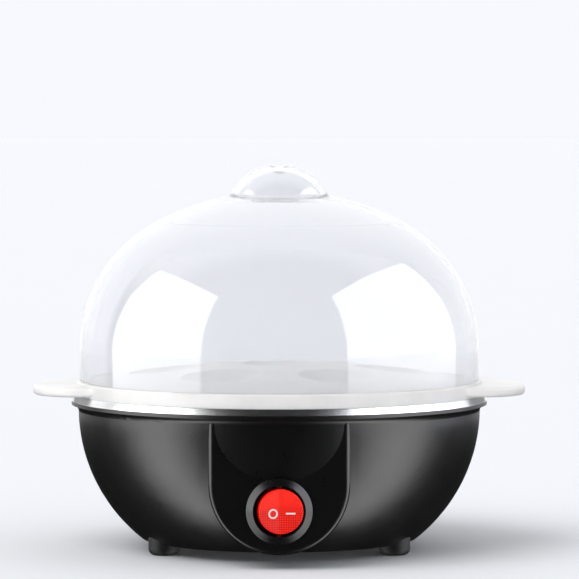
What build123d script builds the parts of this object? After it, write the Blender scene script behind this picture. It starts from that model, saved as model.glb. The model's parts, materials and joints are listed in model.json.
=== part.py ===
from build123d import *
from math import acos, cos, pi, radians, sin, sqrt, tan
import os

# Single-layer electric egg cooker: a moulded base with a heated steel water pan, an egg tray
# that lifts out by its two ears, and a clear lid that lifts off the tray.
# Millimetres. Z is up from the surface that the feet stand on, the bowl's axis is X = Y = 0,
# and the switch faces -Y.

# ---- Driving sizes -------------------------------------------------------------------------
rim_radius = 75.0            # tip of the housing's lip, the widest round of the bowl
lip_top = 53.6               # height of the lip's flat top
floor_height = 3.9           # underside of the housing's floor
housing_wall = 2.2
fit_gap = 0.3                # between pieces that seat loosely
running_gap = 0.05           # radial gap of a pin or a plunger
press_gap = 0.02             # radial gap of a screw in its thread or a pin in its seat
edge_round = 0.4             # broken edge on small moulded pieces
seam_angle = 17.0            # turned faces start here, clear of what joins them on the axes
overrun = 1.0                # how far a cut runs past the face that it opens
match = 0.01                 # two places nearer than this are the same

# Bowl: one arc of a turned wall, upright where it is widest
lip_overhang = 2.5
lip_drop = 3.5               # from the lip's top to where it leaves the wall
lip_tip = 1.3                # thickness of the lip at its tip
bowl_wide_drop = 2.9         # from the lip's top to where the bowl is widest
floor_inset = 22.6           # how much smaller the floor's radius is than the bowl's
lip_hollow_out = 0.35        # shares of the overhang and of the drop at which the curve
lip_hollow_down = 0.28       # under the lip passes its middle
lip_under = lip_top - lip_drop
bowl_radius = rim_radius - lip_overhang
bowl_arc_height = lip_top - bowl_wide_drop
bowl_depth = bowl_arc_height - floor_height
bowl_arc_radius = (floor_inset ** 2 + bowl_depth ** 2) / (2 * floor_inset)
bowl_arc_centre = bowl_radius - bowl_arc_radius
floor_radius = bowl_radius - floor_inset
floor_top = floor_height + housing_wall

# Switch boss on the front, and cord boss at the back
boss_radius = 24.4
boss_height = 29.5           # height of the axis of its round lower end
boss_inset = 3.5             # how far its flat front stands behind the bowl's widest round
boss_depth = 29.0            # how far it reaches in, before the bowl is hollowed
boss_hollow_rise = 12.0      # its hollow ends this far over the axis, inside the wall
boss_edge = 1.8
boss_face = boss_inset - bowl_radius
boss_root = boss_face + boss_depth
boss_hollow_top = boss_height + boss_hollow_rise
cord_boss_radius = 8.5
cord_height = 20.0
cord_inset = 5.0             # how far its flat face stands behind the bowl's widest round
cord_boss_depth = 22.5
cord_face = bowl_radius - cord_inset
cord_boss_root = cord_face - cord_boss_depth

# Screw towers
tower_inset = 4.9            # from the floor's edge to a tower's axis
tower_ring = floor_radius - tower_inset
tower_angles = (45, 135, 225, 315)
tower_radius = 4.5
tower_web = 3.0              # plastic under the standoff, which the screw clamps
screw_radius = 1.5
screw_head_radius = 2.8
screw_head = 2.2
screw_recess_radius = 0.9
screw_hole_gap = 0.2

# Feet
foot_inset = 2.6             # from the floor's edge to a foot's axis
foot_ring = floor_radius - foot_inset
foot_angles = {"foot_front_right": -30, "foot_rear": 90, "foot_front_left": 210}
foot_radius = 5.6
foot_edge = 2.2
foot_stem_radius = 2.0
foot_head_radius = 2.8
foot_head = 2.0
foot_reach = 14.0            # height to which the foot's body is drawn before the bowl trims it

# Vent slots in the floor
vent_count = 6
vent_width = 2.4
vent_length = 13.0
vent_ring = 16.0
vent_start = 30.0            # angle of the first slot

# Water pan: pressed steel sheet
pan_sheet = 0.6
pan_rise = 2.4               # from the lip's top to the pan's flat flange
pan_depth = 16.0             # from the flange to the wet side of the floor
pan_floor_inset = 8.7        # how much smaller the floor's radius is than the mouth's
pan_mouth_gap = 1.0          # between the pan's mouth and the housing's wall
pan_flange_inset = 1.4       # how far the flat flange stands in from the lip's tip
pan_corner = 6.0
pan_mouth_round = 1.4
pan_edge_round = 0.8
seal_width = 2.2
standoff_radius = 3.2
standoff_height = 9.4
standoff_roof = 1.5          # steel left over the thread
screw_tip_gap = 0.5          # from a screw's tip to the end of its thread
pan_top = lip_top + pan_rise
pan_floor = pan_top - pan_depth
pan_under = pan_floor - pan_sheet
pan_mouth_radius = bowl_radius - housing_wall - pan_mouth_gap - pan_sheet
pan_floor_radius = pan_mouth_radius - pan_floor_inset
pan_flange_radius = rim_radius - pan_flange_inset
seal_inner = bowl_radius - housing_wall + fit_gap
tower_top = pan_under - standoff_height

# Heater under the pan
plate_radius = 40.5
plate_thickness = 2.0
element_ring = 28.0
element_radius = 3.3
element_gap = 30.0           # half the angle that the ring leaves open at the back
pin_radius = 1.4
pin_length = 6.0
plate_under = pan_under - plate_thickness
element_height = plate_under - element_radius
element_end_inset = 3.0      # how far a cold pin stands from the end of its tube

# Thermostat
stat_radius = 8.0
stat_cap_radius = 7.6
stat_cap = 3.4
stat_body = 6.4
stat_flange = 0.8
stat_screw_reach = 12.0
stat_screw_radius = 1.2
stat_screw_head_radius = 2.4
stat_screw_head = 1.6
stat_ear_radius = 3.6
blade_thickness = 0.8
blade_width = 4.8
blade_length = 8.0
stat_blade_start = 3.0
stat_blade_reach = 15.5

# Thermal fuse
fuse_angle = 155.0
fuse_ring = 35.0
fuse_radius = 1.9
fuse_length = 9.5
sleeve_radius = 2.5
sleeve_length = 14.0
fuse_lead_radius = 0.5
clip_width = 4.0
clip_sheet = 0.6
clip_foot = 2.2

# Round rocker switch
switch_height = 20.5
barrel_radius = 9.9
barrel_wall = 1.2
panel_hole_gap = 0.1
bezel_lap = 1.6              # how far the bezel laps over the panel
bezel_height = 2.2
bezel_edge = 0.8             # height of the bezel's outer edge, where its slope starts
bezel_slope = 2.4            # width of the slope
switch_depth = 14.2          # behind the panel's front face
switch_back = 1.2
tab_width = 5.0
tab_proud = 0.8
tab_length = 5.0
tab_root = 0.5               # how deep a tab is rooted in the barrel
tab_slope = 0.7              # chamfer that lets a tab snap in
rocker_gap = 1.0             # between the rocker and the barrel's bore
rocker_valley = 3.4          # from the pivot to the bottom of the V
rocker_back = 2.0
rocker_skin = 1.4
rocker_tilt = 10.0           # each way from the middle
rocker_valley_round = 5.0
rocker_rim_round = 0.5
pivot_depth = 3.2            # from the bezel's front to the pivot
pivot_radius = 1.0
pivot_end = 0.5              # from the end of a pivot pin to the barrel's outside
hub_radius = 2.6
hub_length = 5.0
plunger_radius = 1.5
plunger_tip = 8.0            # from the pivot to the plunger's tip
plunger_length = 4.6
spring_wire = 0.22
spring_pitch = 0.75
mark_height = 0.15
ring_mark_radius = 1.7
mark_stroke = 0.55
bar_mark_length = 3.3
ring_mark_place = -2.9
bar_mark_place = 3.3
mark_drop = 0.6              # the marks stand this far under the rocker's middle

bezel_radius = barrel_radius + bezel_lap
bezel_land_radius = bezel_radius - bezel_slope
rocker_radius = barrel_radius - barrel_wall - rocker_gap
pivot_reach = barrel_radius - pivot_end

# Contacts behind the rocker
seesaw_gap = 0.35            # from the plunger's tip to the seesaw in the middle of the travel
seesaw_length = 11.0
seesaw_width = 4.4
seesaw_sheet = 0.7
seesaw_share = 0.8           # turn of the seesaw for each degree of the rocker
fulcrum_radius = 0.5
terminal_pitch = 6.6
contact_length = 3.4
contact_gap = 0.1            # from the seesaw's end to the live contact when it is closed
lamp_stub = 1.0
neon_radius = 1.3
neon_left = -4.6
neon_right = 1.0
resistor_left = 2.2
resistor_right = 5.4
resistor_radius = 0.9
lamp_offset = 5.4            # above the switch's axis
lamp_back = 3.2              # in front of the switch's back wall
lamp_lead_radius = 0.25

# Connectors, terminal block and leads
sleeve_thick = 4.2
sleeve_wide = 7.4
sleeve_long = 14.0
sleeve_overlap = 7.0         # how far a sleeve covers its blade
sleeve_round = 0.8
block_length = 30.0
block_depth = 14.0
block_height = 11.0
block_place = 36.0           # Y of its middle
pole_pitch = 9.6
pole_height = 5.0
clamp_bore = 1.9
clamp_bore_depth = 5.0
clamp_pitch = 8.0            # between the two clamp screws of a pole
clamp_screw_radius = 1.7
clamp_screw_length = 4.0
clamp_slot_width = 0.5
clamp_slot_depth = 0.8
block_screw_radius = 1.3
block_screw_head_radius = 2.2
block_screw_head = 1.4
block_boss_radius = 3.0
block_boss = 2.4
block_round = 0.8
lead_radius = 1.1
thin_lead_radius = 0.9       # two of these share a clamp
lead_short = 1.0             # how far a lead stops short of the end of its clamp's bore
arc_share = 0.45             # share of the shorter run that each arc of a lead takes up
crimp_radius = 2.0
crimp_length = 7.0
earth_blade_ring = 43.0
earth_blade_angle = 237.0
earth_blade_length = 9.0

# Cord gland
gland_bore = 3.1
gland_barrel = 4.9
gland_collar = 6.4
gland_collar_length = 2.4
gland_flange = 5.8
gland_flange_length = 2.0
gland_round = 0.8

# Egg tray
tray_inset = 0.4             # how much smaller the tray is than the pan's flat flange
tray_wall = 2.2
tray_band = 4.8              # from the pan's flange to the ledge that the lid stands on
crown_gap = 0.7              # between the crown's edge and the inside of the lid
crown_rise = 6.2
ledge_round = 0.7
skirt_gap = 2.2              # between the skirt and the pan's mouth
skirt_wall = 1.6
skirt_depth = 3.0            # below the tray's lower edge
seat_ring = 43.0
seat_count = 6
seat_rim_radius = 14.0
seat_sphere = 24.0
seat_wall = 2.0
steam_hole = 5.0
seat_rim_round = 1.5
ear_circle = 32.0
ear_reach = 15.8             # from the tray's edge to an ear's tip
ear_thick = 3.6
ear_drop = 1.0               # from the ledge to an ear's top
ear_blend = 9.0
ear_edge = 1.3
ear_droop = 2.0              # degrees that an ear falls towards its tip

# Lid
lid_inset = 1.2              # how much smaller the lid is than the tray
lid_wall = 1.8
lid_upright = 11.0           # height of the wall before it starts to curve in
shoulder_radius = 52.1
crown_arc_radius = 94.2
knob_radius = 18.0
knob_sphere = 19.9
knob_wall = 2.4
knob_blend = 1.6
groove_radius = 6.0
groove_depth = 0.95
groove_round = 0.8
steam_vent = 1.5

# Places that follow from how the tray and the lid stand on the pan
tray_radius = pan_flange_radius - tray_inset
ledge_height = pan_top + tray_band
ear_tip = tray_radius + ear_reach
ear_high = ledge_height - ear_drop
ear_low = ear_high - ear_thick
skirt_radius = pan_mouth_radius - skirt_gap
lid_radius = tray_radius - lid_inset
lid_straight = ledge_height + lid_upright
crown_edge = lid_radius - lid_wall - crown_gap


# ---- Helpers -------------------------------------------------------------------------------
def around(radius, angle):
    """X and Y of the point at a radius and an angle from +X about the bowl's axis."""
    return radius * cos(radians(angle)), radius * sin(radians(angle))


def turned(*lines):
    """The solid that a closed outline of radius and height makes about the Z axis."""
    return Rot(0, 0, seam_angle) * revolve(Plane.XZ * make_face(lines), Axis.Z)


def ball(radius, x, y, z):
    """A sphere at a point."""
    return Pos(x, y, z) * Rot(0, 0, seam_angle) * Sphere(radius)


def post(radius, low, high, x=0.0, y=0.0):
    """A vertical cylinder between two heights."""
    return Pos(x, y, low) * Cylinder(radius, high - low, align=(Align.CENTER, Align.CENTER, Align.MIN))


def rod(radius, front, back, x=0.0, z=0.0):
    """A cylinder along Y from a front depth to a back depth."""
    shape = Cylinder(radius, back - front, align=(Align.CENTER, Align.CENTER, Align.MIN))
    return Pos(x, front, z) * Rot(-90, 0, 0) * shape


def slab(x_range, y_range, z_range):
    """A box between two values on each axis."""
    sizes = [high - low for low, high in (x_range, y_range, z_range)]
    corner = [low for low, high in (x_range, y_range, z_range)]
    return Pos(*corner) * Box(*sizes, align=(Align.MIN, Align.MIN, Align.MIN))


def lead(points, radius=lead_radius):
    """A round lead along straight runs, each corner an arc as large as its runs allow."""
    points = [Vector(*point) for point in points]
    radii = []
    for before, corner, after in zip(points, points[1:], points[2:]):
        turn = radians((corner - before).get_angle(after - corner))
        shorter = min((corner - before).length, (after - corner).length)
        radii.append(arc_share * shorter / tan(turn / 2))
    path = FilletPolyline(*points, radius=radii)
    return sweep(Plane(points[0], z_dir=points[1] - points[0]) * Circle(radius), path=path)


def save(name, *shapes):
    """One STEP file for one named piece or one group of identical pieces."""
    solids = [solid for shape in shapes for solid in shape.solids()]
    whole = solids[0] if len(solids) == 1 else Compound(children=solids)
    whole.label = name
    export_step(whole, f"parts/{name}.step")


# ---- Housing -------------------------------------------------------------------------------
def bowl_at(height, inset=0.0):
    """Radius of the bowl at a height, a given depth inside its outer surface."""
    reach = (bowl_arc_radius - inset) ** 2 - (height - bowl_arc_height) ** 2
    return bowl_arc_centre + sqrt(reach)


def bowl_arc(low, high, inset=0.0):
    """The bowl's wall line between two heights."""
    return ThreePointArc(*[(bowl_at(z, inset), z) for z in (low, (low + high) / 2, high)])


def bowl_outside():
    """The bowl and its lip as a full body, up to the lip's flat top."""
    tip = lip_top - lip_tip
    hollow_mid = (bowl_radius + lip_hollow_out * lip_overhang, tip - lip_hollow_down * (tip - lip_under))
    return turned(
        Line((0, floor_height), (bowl_at(floor_height), floor_height)),
        bowl_arc(floor_height, lip_under),
        ThreePointArc((bowl_at(lip_under), lip_under), hollow_mid, (rim_radius, tip)),
        Line((rim_radius, tip), (rim_radius, lip_top)),
        Line((rim_radius, lip_top), (0, lip_top)),
        Line((0, lip_top), (0, floor_height)),
    )


def bowl_inside():
    """The hollow of the bowl, open at the top."""
    mouth = bowl_radius - housing_wall
    top = lip_top + overrun
    return turned(
        Line((0, floor_top), (bowl_at(floor_top, housing_wall), floor_top)),
        bowl_arc(floor_top, bowl_arc_height, housing_wall),
        Line((mouth, bowl_arc_height), (mouth, top)),
        Line((mouth, top), (0, top)),
        Line((0, top), (0, floor_top)),
    )


def boss_shape(radius, front, top):
    """A body round below and straight-sided above, up to a height."""
    upright = slab((-radius, radius), (front, boss_root), (boss_height, top))
    return rod(radius, front, boss_root, z=boss_height) + upright


def front_boss():
    """The switch boss, which runs up into the underside of the lip."""
    boss = boss_shape(boss_radius, boss_face, 2 * lip_top)
    boss = fillet(boss.edges().group_by(Axis.Y)[0], boss_edge)
    return boss & slab((-boss_radius, boss_radius), (boss_face, boss_root), (0, lip_top - lip_tip))


def rear_boss(inset=0.0):
    """The boss that the cord gland sits in, or its hollow."""
    return rod(cord_boss_radius - inset, cord_boss_root, cord_face - inset, z=cord_height)


def tower_bores():
    """Each screw tower's bore: a hole through its web, and a wide bore from below for the head."""
    web_under = tower_top - tower_web
    bores = []
    for angle in tower_angles:
        x, y = around(tower_ring, angle)
        bores.append(post(screw_radius + screw_hole_gap, 0, tower_top + overrun, x, y))
        bores.append(post(screw_head_radius + screw_hole_gap, 0, web_under, x, y))
    return bores


def vent_slots():
    """Short radial slots in the floor."""
    half = vent_width / 2
    slot = slab((vent_ring, vent_ring + vent_length), (-half, half), (0, floor_top + overrun))
    return [Rot(0, 0, vent_start + turn * 360 / vent_count) * slot for turn in range(vent_count)]


def foot_stems(radius, top):
    """The feet's stems, or the holes for them, up to a height."""
    return [post(radius, 0, top, *around(foot_ring, angle)) for angle in foot_angles.values()]


def block_posts(radius, low, high):
    """A cylinder at each of the terminal block's two screws."""
    return [post(radius, low, high, x, block_place) for x in block_screw_places()]


def make_housing():
    """The one-piece moulded base."""
    body = bowl_outside() + front_boss() + rear_boss()
    boss_hollow = boss_shape(boss_radius - housing_wall, boss_face + housing_wall, boss_hollow_top)
    body = body - bowl_inside() - boss_hollow - rear_boss(housing_wall)
    towers = [post(tower_radius, floor_height, tower_top, *around(tower_ring, a)) for a in tower_angles]
    block_bosses = block_posts(block_boss_radius, floor_height, floor_top + block_boss)
    body = body + [piece & bowl_outside() for piece in towers + block_bosses]
    block_holes = block_posts(block_screw_radius + press_gap, floor_top, floor_top + block_boss)
    stem_holes = foot_stems(foot_stem_radius + press_gap, floor_top + foot_head)
    spot_face = rod(bezel_radius + fit_gap, boss_face - 2 * overrun, boss_face, z=switch_height)
    behind = boss_face + 2 * housing_wall
    switch_hole = rod(barrel_radius + panel_hole_gap, boss_face, behind, z=switch_height)
    inner = cord_face - 2 * housing_wall
    gland_hole = rod(gland_barrel + press_gap, inner, cord_face + overrun, z=cord_height)
    body = body - tower_bores() - vent_slots() - block_holes - stem_holes
    return body - spot_face - switch_hole - gland_hole


def make_foot(angle, housing):
    """A rubber foot trimmed to the bowl, with a stem and a head that hold it in the floor."""
    x, y = around(foot_ring, angle)
    pad = post(foot_radius, 0, foot_reach, x, y)
    pad = fillet(pad.edges().group_by(Axis.Z)[0], foot_edge) - bowl_outside()
    pad = pad.solids().sort_by(Axis.Z)[0]
    stem = post(foot_stem_radius, floor_height - overrun, floor_top + foot_head, x, y)
    head = post(foot_head_radius, floor_top, floor_top + foot_head, x, y) - housing
    return pad + (stem - pad) + head.solids().sort_by(SortBy.VOLUME)[-1]


# ---- Water pan and heater ------------------------------------------------------------------
def make_pan():
    """Pressed sheet: floor, sloped wall, flat flange and a short skirt that stands on the lip."""
    spread = (rim_radius - pan_flange_radius) / (pan_top - lip_top)
    wet_side = FilletPolyline(
        (0, pan_floor),
        (pan_floor_radius, pan_floor),
        (pan_mouth_radius, pan_top),
        (pan_flange_radius, pan_top),
        (rim_radius + spread * pan_sheet, lip_top - pan_sheet),
        radius=[pan_corner, pan_mouth_round, pan_edge_round],
    )
    section = make_face(offset(wet_side, pan_sheet, side=Side.RIGHT))
    below_lip = post(2 * rim_radius, pan_under, lip_top) - post(seal_inner, pan_under, lip_top)
    return revolve(Plane.XZ * section, Axis.Z) - below_lip


def make_seal():
    """Silicone ring between the lip and the pan's flange."""
    under = pan_top - pan_sheet
    ring = post(seal_inner + seal_width, lip_top, under) - post(seal_inner, lip_top, under)
    return fillet(ring.edges(), edge_round)


def make_standoffs():
    """Threaded studs welded under the pan, one over each screw tower."""
    studs = []
    for angle in tower_angles:
        x, y = around(tower_ring, angle)
        bore = post(screw_radius + press_gap, tower_top, pan_under - standoff_roof, x, y)
        studs.append(post(standoff_radius, tower_top, pan_under, x, y) - bore)
    return studs


def make_pan_screws():
    """Screws that pull the pan down on the housing."""
    web_under = tower_top - tower_web
    screws = []
    for angle in tower_angles:
        x, y = around(tower_ring, angle)
        head = post(screw_head_radius, web_under - screw_head, web_under, x, y)
        head = head - post(screw_recess_radius, web_under - screw_head, web_under - screw_head / 2, x, y)
        screws.append(head + post(screw_radius, web_under, pan_under - standoff_roof - screw_tip_gap, x, y))
    return screws


def make_heater_plate():
    """Aluminium disc that spreads the heat under the pan, with two tapped holes."""
    plate = post(plate_radius, plate_under, pan_under)
    thread = stat_screw_radius + press_gap
    return plate - [post(thread, plate_under, pan_under, 0, y) for y in stat_screw_places()]


def make_element():
    """Tubular heating element, a ring open at the back."""
    start = around(element_ring, 90 + element_gap)
    middle = around(element_ring, 270)
    end = around(element_ring, 90 - element_gap)
    path = Pos(0, 0, element_height) * ThreePointArc(start, middle, end)
    section = Plane(path @ 0, z_dir=path % 0) * Circle(element_radius)
    ring = sweep(section, path=path)
    return ring - [post(pin_radius + press_gap, 0, element_height, x, y) for x, y in pin_places()]


def pin_places():
    """Where the two cold pins come down, left first."""
    inset = element_gap + element_end_inset * 180 / (pi * element_ring)
    return [around(element_ring, 90 + inset), around(element_ring, 90 - inset)]


def pin_end():
    """Height of the cold pins' lower ends."""
    return element_height - element_radius - pin_length


def make_pins():
    """Cold pins of the heating element."""
    return [post(pin_radius, pin_end(), element_height, x, y) for x, y in pin_places()]


def stat_screw_places():
    """Y of the thermostat's two screws."""
    return (-stat_screw_reach, stat_screw_reach)


def make_thermostat():
    """Disc thermostat: a metal cap with a flange on the plate, and a moulded body under it."""
    flange_low = plate_under - stat_flange
    cap = post(stat_cap_radius, plate_under - stat_cap, plate_under)
    width = (-stat_ear_radius, stat_ear_radius)
    ears = slab(width, (-stat_screw_reach, stat_screw_reach), (flange_low, plate_under))
    ears = ears + [post(stat_ear_radius, flange_low, plate_under, 0, y) for y in stat_screw_places()]
    body = post(stat_radius, plate_under - stat_cap - stat_body, plate_under - stat_cap)
    holes = [post(stat_screw_radius + screw_hole_gap, 0, pan_under, 0, y) for y in stat_screw_places()]
    return cap + ears + body - holes


def stat_blade_height():
    """Height of the underside of the thermostat, where its blades are riveted."""
    return plate_under - stat_cap - stat_body


def make_stat_blades():
    """The thermostat's two blades, one to each side."""
    top = stat_blade_height()
    half = blade_width / 2
    flat = slab((stat_blade_start, stat_blade_reach), (-half, half), (top - blade_thickness, top))
    return [flat, Rot(0, 0, 180) * flat]


def make_stat_screws():
    """Screws that hold the thermostat's flange to the plate."""
    low = plate_under - stat_flange
    screws = []
    for y in stat_screw_places():
        head = post(stat_screw_head_radius, low - stat_screw_head, low, 0, y)
        head = fillet(head.edges().group_by(Axis.Z)[0], edge_round)
        screws.append(head + post(stat_screw_radius, low, pan_under - fit_gap, 0, y))
    return screws


def fuse_frame():
    """Local frame of the thermal fuse: X along it, Z up, centred on its axis."""
    x, y = around(fuse_ring, fuse_angle)
    height = plate_under - fit_gap - sleeve_radius
    return Pos(x, y, height) * Rot(0, 0, fuse_angle + 90)


def bar(radius, start, end):
    """A cylinder along X between two places."""
    shape = Cylinder(radius, end - start, align=(Align.CENTER, Align.CENTER, Align.MIN))
    return Pos(start, 0, 0) * Rot(0, 90, 0) * shape


def make_fuse():
    """Thermal fuse body with its two leads."""
    half = fuse_length / 2
    reach = sleeve_length / 2
    body = fillet(bar(fuse_radius, -half, half).edges(), edge_round)
    return fuse_frame() * (body + bar(fuse_lead_radius, -reach, -half) + bar(fuse_lead_radius, half, reach))


def make_fuse_sleeve():
    """Woven sleeve round the fuse."""
    half = sleeve_length / 2
    return fuse_frame() * (bar(sleeve_radius, -half, half) - bar(fuse_radius + running_gap, -half, half))


def make_fuse_clip():
    """Sheet saddle that holds the sleeve under the plate."""
    half = clip_width / 2
    outer_radius = sleeve_radius + clip_sheet
    up = sleeve_radius + fit_gap
    reach = sleeve_radius + clip_foot
    saddle = bar(outer_radius, -half, half) & slab((-half, half), (-reach, reach), (-reach, 0))
    legs = slab((-half, half), (-outer_radius, outer_radius), (0, up))
    feet = slab((-half, half), (-reach, reach), (up - clip_sheet, up))
    hollow = bar(sleeve_radius, -half, half) + slab((-half, half), (-sleeve_radius, sleeve_radius), (0, up))
    return fuse_frame() * (saddle + legs + feet - hollow)


# ---- Switch --------------------------------------------------------------------------------
def switch_front():
    """Y of the bezel's front."""
    return boss_face - bezel_height


def pivot_y():
    """Y of the rocker's pivot."""
    return switch_front() + pivot_depth


def switch_rear():
    """Y of the outer side of the switch's back wall."""
    return boss_face + switch_depth


def terminal_places():
    """X of the live, load and lamp terminals."""
    return (-terminal_pitch, 0.0, terminal_pitch)


def make_switch_body():
    """Bezel and barrel of the switch, moulded in one, with snap tabs above and below."""
    cavity = barrel_radius - barrel_wall
    front = switch_front()
    outline = Polyline(
        (0, switch_rear()),
        (barrel_radius, switch_rear()),
        (barrel_radius, boss_face),
        (bezel_radius, boss_face),
        (bezel_radius, boss_face - bezel_edge),
        (bezel_land_radius, front),
        (cavity, front),
        (cavity, switch_rear() - switch_back),
        (0, switch_rear() - switch_back),
        close=True,
    )
    section = make_face(outline)
    slope = [v for v in section.vertices() if v.Y < boss_face - edge_round and v.X > cavity + edge_round]
    body = Pos(0, 0, switch_height) * revolve(fillet(slope, edge_round), Axis.Y)
    pin_holes = post(pivot_radius + running_gap, -pin_hole_end(), pin_hole_end())
    slots = [terminal_blade(x, running_gap) for x in terminal_places()]
    return body + switch_tabs() - Pos(0, pivot_y(), switch_height) * pin_holes - slots


def pin_hole_end():
    """How far from the middle the holes for the rocker's pins reach."""
    return pivot_reach + 2 * running_gap


def switch_tabs():
    """Snap tabs above and below the barrel, behind the panel."""
    panel_back = boss_face + housing_wall + fit_gap
    rise = (barrel_radius - tab_root, barrel_radius + tab_proud)
    tab = slab((-tab_width / 2, tab_width / 2), (panel_back, panel_back + tab_length), rise)
    nose = tab.edges().filter_by(Axis.X).group_by(Axis.Y)[-1].sort_by(Axis.Z)[-1]
    tab = chamfer(nose, tab_slope)
    return [Pos(0, 0, switch_height) * Rot(0, turn, 0) * tab for turn in (0, 180)]


def terminal_blade(x, grow=0.0):
    """The flat of a terminal, through the switch's back wall and out behind it."""
    thick = blade_thickness / 2 + grow
    wide = blade_width / 2 + grow
    y_range = (switch_rear() - switch_back, switch_rear() + blade_length)
    return slab((x - thick, x + thick), y_range, (switch_height - wide, switch_height + wide))


def seesaw_knuckle():
    """Outer radius of the channel that is formed along the seesaw's middle."""
    return fulcrum_radius + running_gap + seesaw_sheet


def seesaw_y():
    """Y of the axis that the seesaw tips about, inside its channel."""
    return pivot_y() + plunger_tip + seesaw_gap + seesaw_knuckle()


def make_terminals():
    """Three terminals: contact pad on the live one, fulcrum on the load one, plain for the lamp."""
    start = switch_rear() - switch_back
    live, load, lamp = (terminal_blade(x) for x in terminal_places())
    wide = blade_width / 2
    half = blade_thickness / 2
    z_range = (switch_height - wide, switch_height + wide)
    closed = seesaw_y() + seesaw_length / 2 * sin(radians(rocker_tilt * seesaw_share))
    pad_x = (-terminal_pitch - half, contact_length - terminal_pitch)
    pad = slab(pad_x, (closed + contact_gap, start), z_range)
    stem = slab((-half, half), (seesaw_y(), start), z_range)
    ridge = Pos(0, seesaw_y(), switch_height) * post(fulcrum_radius, -wide, wide)
    stub = slab((terminal_pitch - half, terminal_pitch + half), (start - lamp_stub, start), z_range)
    return [live + pad, load + stem + ridge, lamp + stub]


def make_seesaw():
    """Contact plate that tips over the fulcrum, at rest tipped towards the live contact."""
    half = seesaw_length / 2
    wide = seesaw_width / 2
    plate = slab((-half, half), (-seesaw_sheet, 0), (-wide, wide)) + post(seesaw_knuckle(), -wide, wide)
    behind = slab((-half, half), (0, 2 * seesaw_knuckle()), (-wide, wide))
    channel = post(fulcrum_radius + running_gap, -wide, wide)
    tip = Rot(0, 0, -rocker_tilt * seesaw_share)
    return Pos(0, seesaw_y(), switch_height) * tip * (plate - behind - channel)


def rocker_frame():
    """The rocker's place at rest: tipped so that its right half is pressed in."""
    return Pos(0, pivot_y(), switch_height) * Rot(0, 0, rocker_tilt)


def rocker_face_cut():
    """What the rocker's shallow V face leaves away, in front of it."""
    far = 2 * rocker_radius
    edge = -(rocker_valley + far * tan(radians(rocker_tilt)))
    outline = Polyline(
        (-far, edge - far),
        (-far, edge),
        (0, -rocker_valley),
        (far, edge),
        (far, edge - far),
        close=True,
    )
    section = make_face(outline)
    valley = section.vertices().sort_by(Axis.Y)[-1]
    return extrude(fillet(valley, rocker_valley_round), far, both=True)


def rocker_rim(cap):
    """The edges round the rocker's face."""
    sides = [face for face in cap.faces() if face.center().Y > -rocker_valley]
    faces = [face for face in cap.faces() if face.center().Y <= -rocker_valley]
    return [edge for face in faces for edge in face.edges() if any(edge in side.edges() for side in sides)]


def make_rocker():
    """Translucent rocker: a round cap with a V face, a hub for the plunger and two pivot pins."""
    cap = rod(rocker_radius, -2 * rocker_radius, rocker_back) - rocker_face_cut()
    cap = fillet(rocker_rim(cap), rocker_rim_round)
    pocket = rod(rocker_radius - rocker_skin, -rocker_valley + rocker_skin, rocker_back)
    hub = rod(hub_radius, -rocker_valley + rocker_skin / 2, hub_length)
    bore = rod(plunger_radius + running_gap, pivot_radius / 2, hub_length)
    pins = post(pivot_radius, rocker_radius - rocker_skin, pivot_reach)
    pins = pins + post(pivot_radius, -pivot_reach, rocker_skin - rocker_radius)
    return rocker_frame() * (cap - pocket + hub - bore + pins)


def face_frame(place):
    """Frame on the rocker's face at a distance from its valley: Z out of the face."""
    side = 1 if place > 0 else -1
    across = place * cos(radians(rocker_tilt))
    depth = -(rocker_valley + abs(place) * sin(radians(rocker_tilt)))
    return rocker_frame() * Pos(across, depth, -mark_drop) * Rot(0, 0, -side * rocker_tilt) * Rot(90, 0, 0)


def make_marks():
    """The ring and bar that say off and on, standing just proud of the rocker's face."""
    ring = extrude(Circle(ring_mark_radius) - Circle(ring_mark_radius - mark_stroke), mark_height)
    bar_mark = extrude(Rectangle(bar_mark_length, mark_stroke), mark_height)
    return [face_frame(ring_mark_place) * ring, face_frame(bar_mark_place) * bar_mark]


def make_plunger():
    """Round-nosed plunger in the rocker's hub."""
    nose = plunger_tip - plunger_radius
    body = rod(plunger_radius, plunger_tip - plunger_length, nose) + Pos(0, nose, 0) * Sphere(plunger_radius)
    return rocker_frame() * body


def make_spring():
    """Coil spring behind the plunger."""
    start = pivot_radius / 2 + spring_wire + running_gap
    height = plunger_tip - plunger_length - spring_wire - running_gap - start
    coil = plunger_radius - spring_wire
    path = Helix(spring_pitch, height, coil, center=(0, start, 0), direction=(0, 1, 0))
    wire = sweep(Plane(path @ 0, z_dir=path % 0) * Circle(spring_wire), path=path, is_frenet=True)
    return rocker_frame() * wire


def lamp_y():
    """Y of the lamp and its resistor inside the switch."""
    return switch_rear() - switch_back - lamp_back


def lamp_bar(radius, start, end):
    """A cylinder along X at the lamp's place."""
    return Pos(0, lamp_y(), switch_height + lamp_offset) * bar(radius, start, end)


def make_neon():
    """Glass neon lamp."""
    return fillet(lamp_bar(neon_radius, neon_left, neon_right).edges(), edge_round)


def make_resistor():
    """Series resistor of the lamp."""
    return fillet(lamp_bar(resistor_radius, resistor_left, resistor_right).edges(), edge_round)


def make_lamp_leads():
    """Bare leads: load terminal to lamp, lamp to resistor, resistor to lamp terminal."""
    y = lamp_y()
    z = switch_height + lamp_offset
    top = switch_height + blade_width / 2 + lamp_lead_radius
    wall = switch_rear() - switch_back - lamp_lead_radius
    first = lead([
        (neon_left, y, z), (neon_left - 1, y, z), (neon_left - 1, wall - 0.6, z - 1.2), (0, wall, top)],
        lamp_lead_radius)
    last = lead([
        (resistor_right, y, z), (resistor_right + 0.7, y, z), (terminal_pitch, wall - 0.3, top)],
        lamp_lead_radius)
    return [first, lamp_bar(lamp_lead_radius, neon_right, resistor_left), last]


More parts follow.
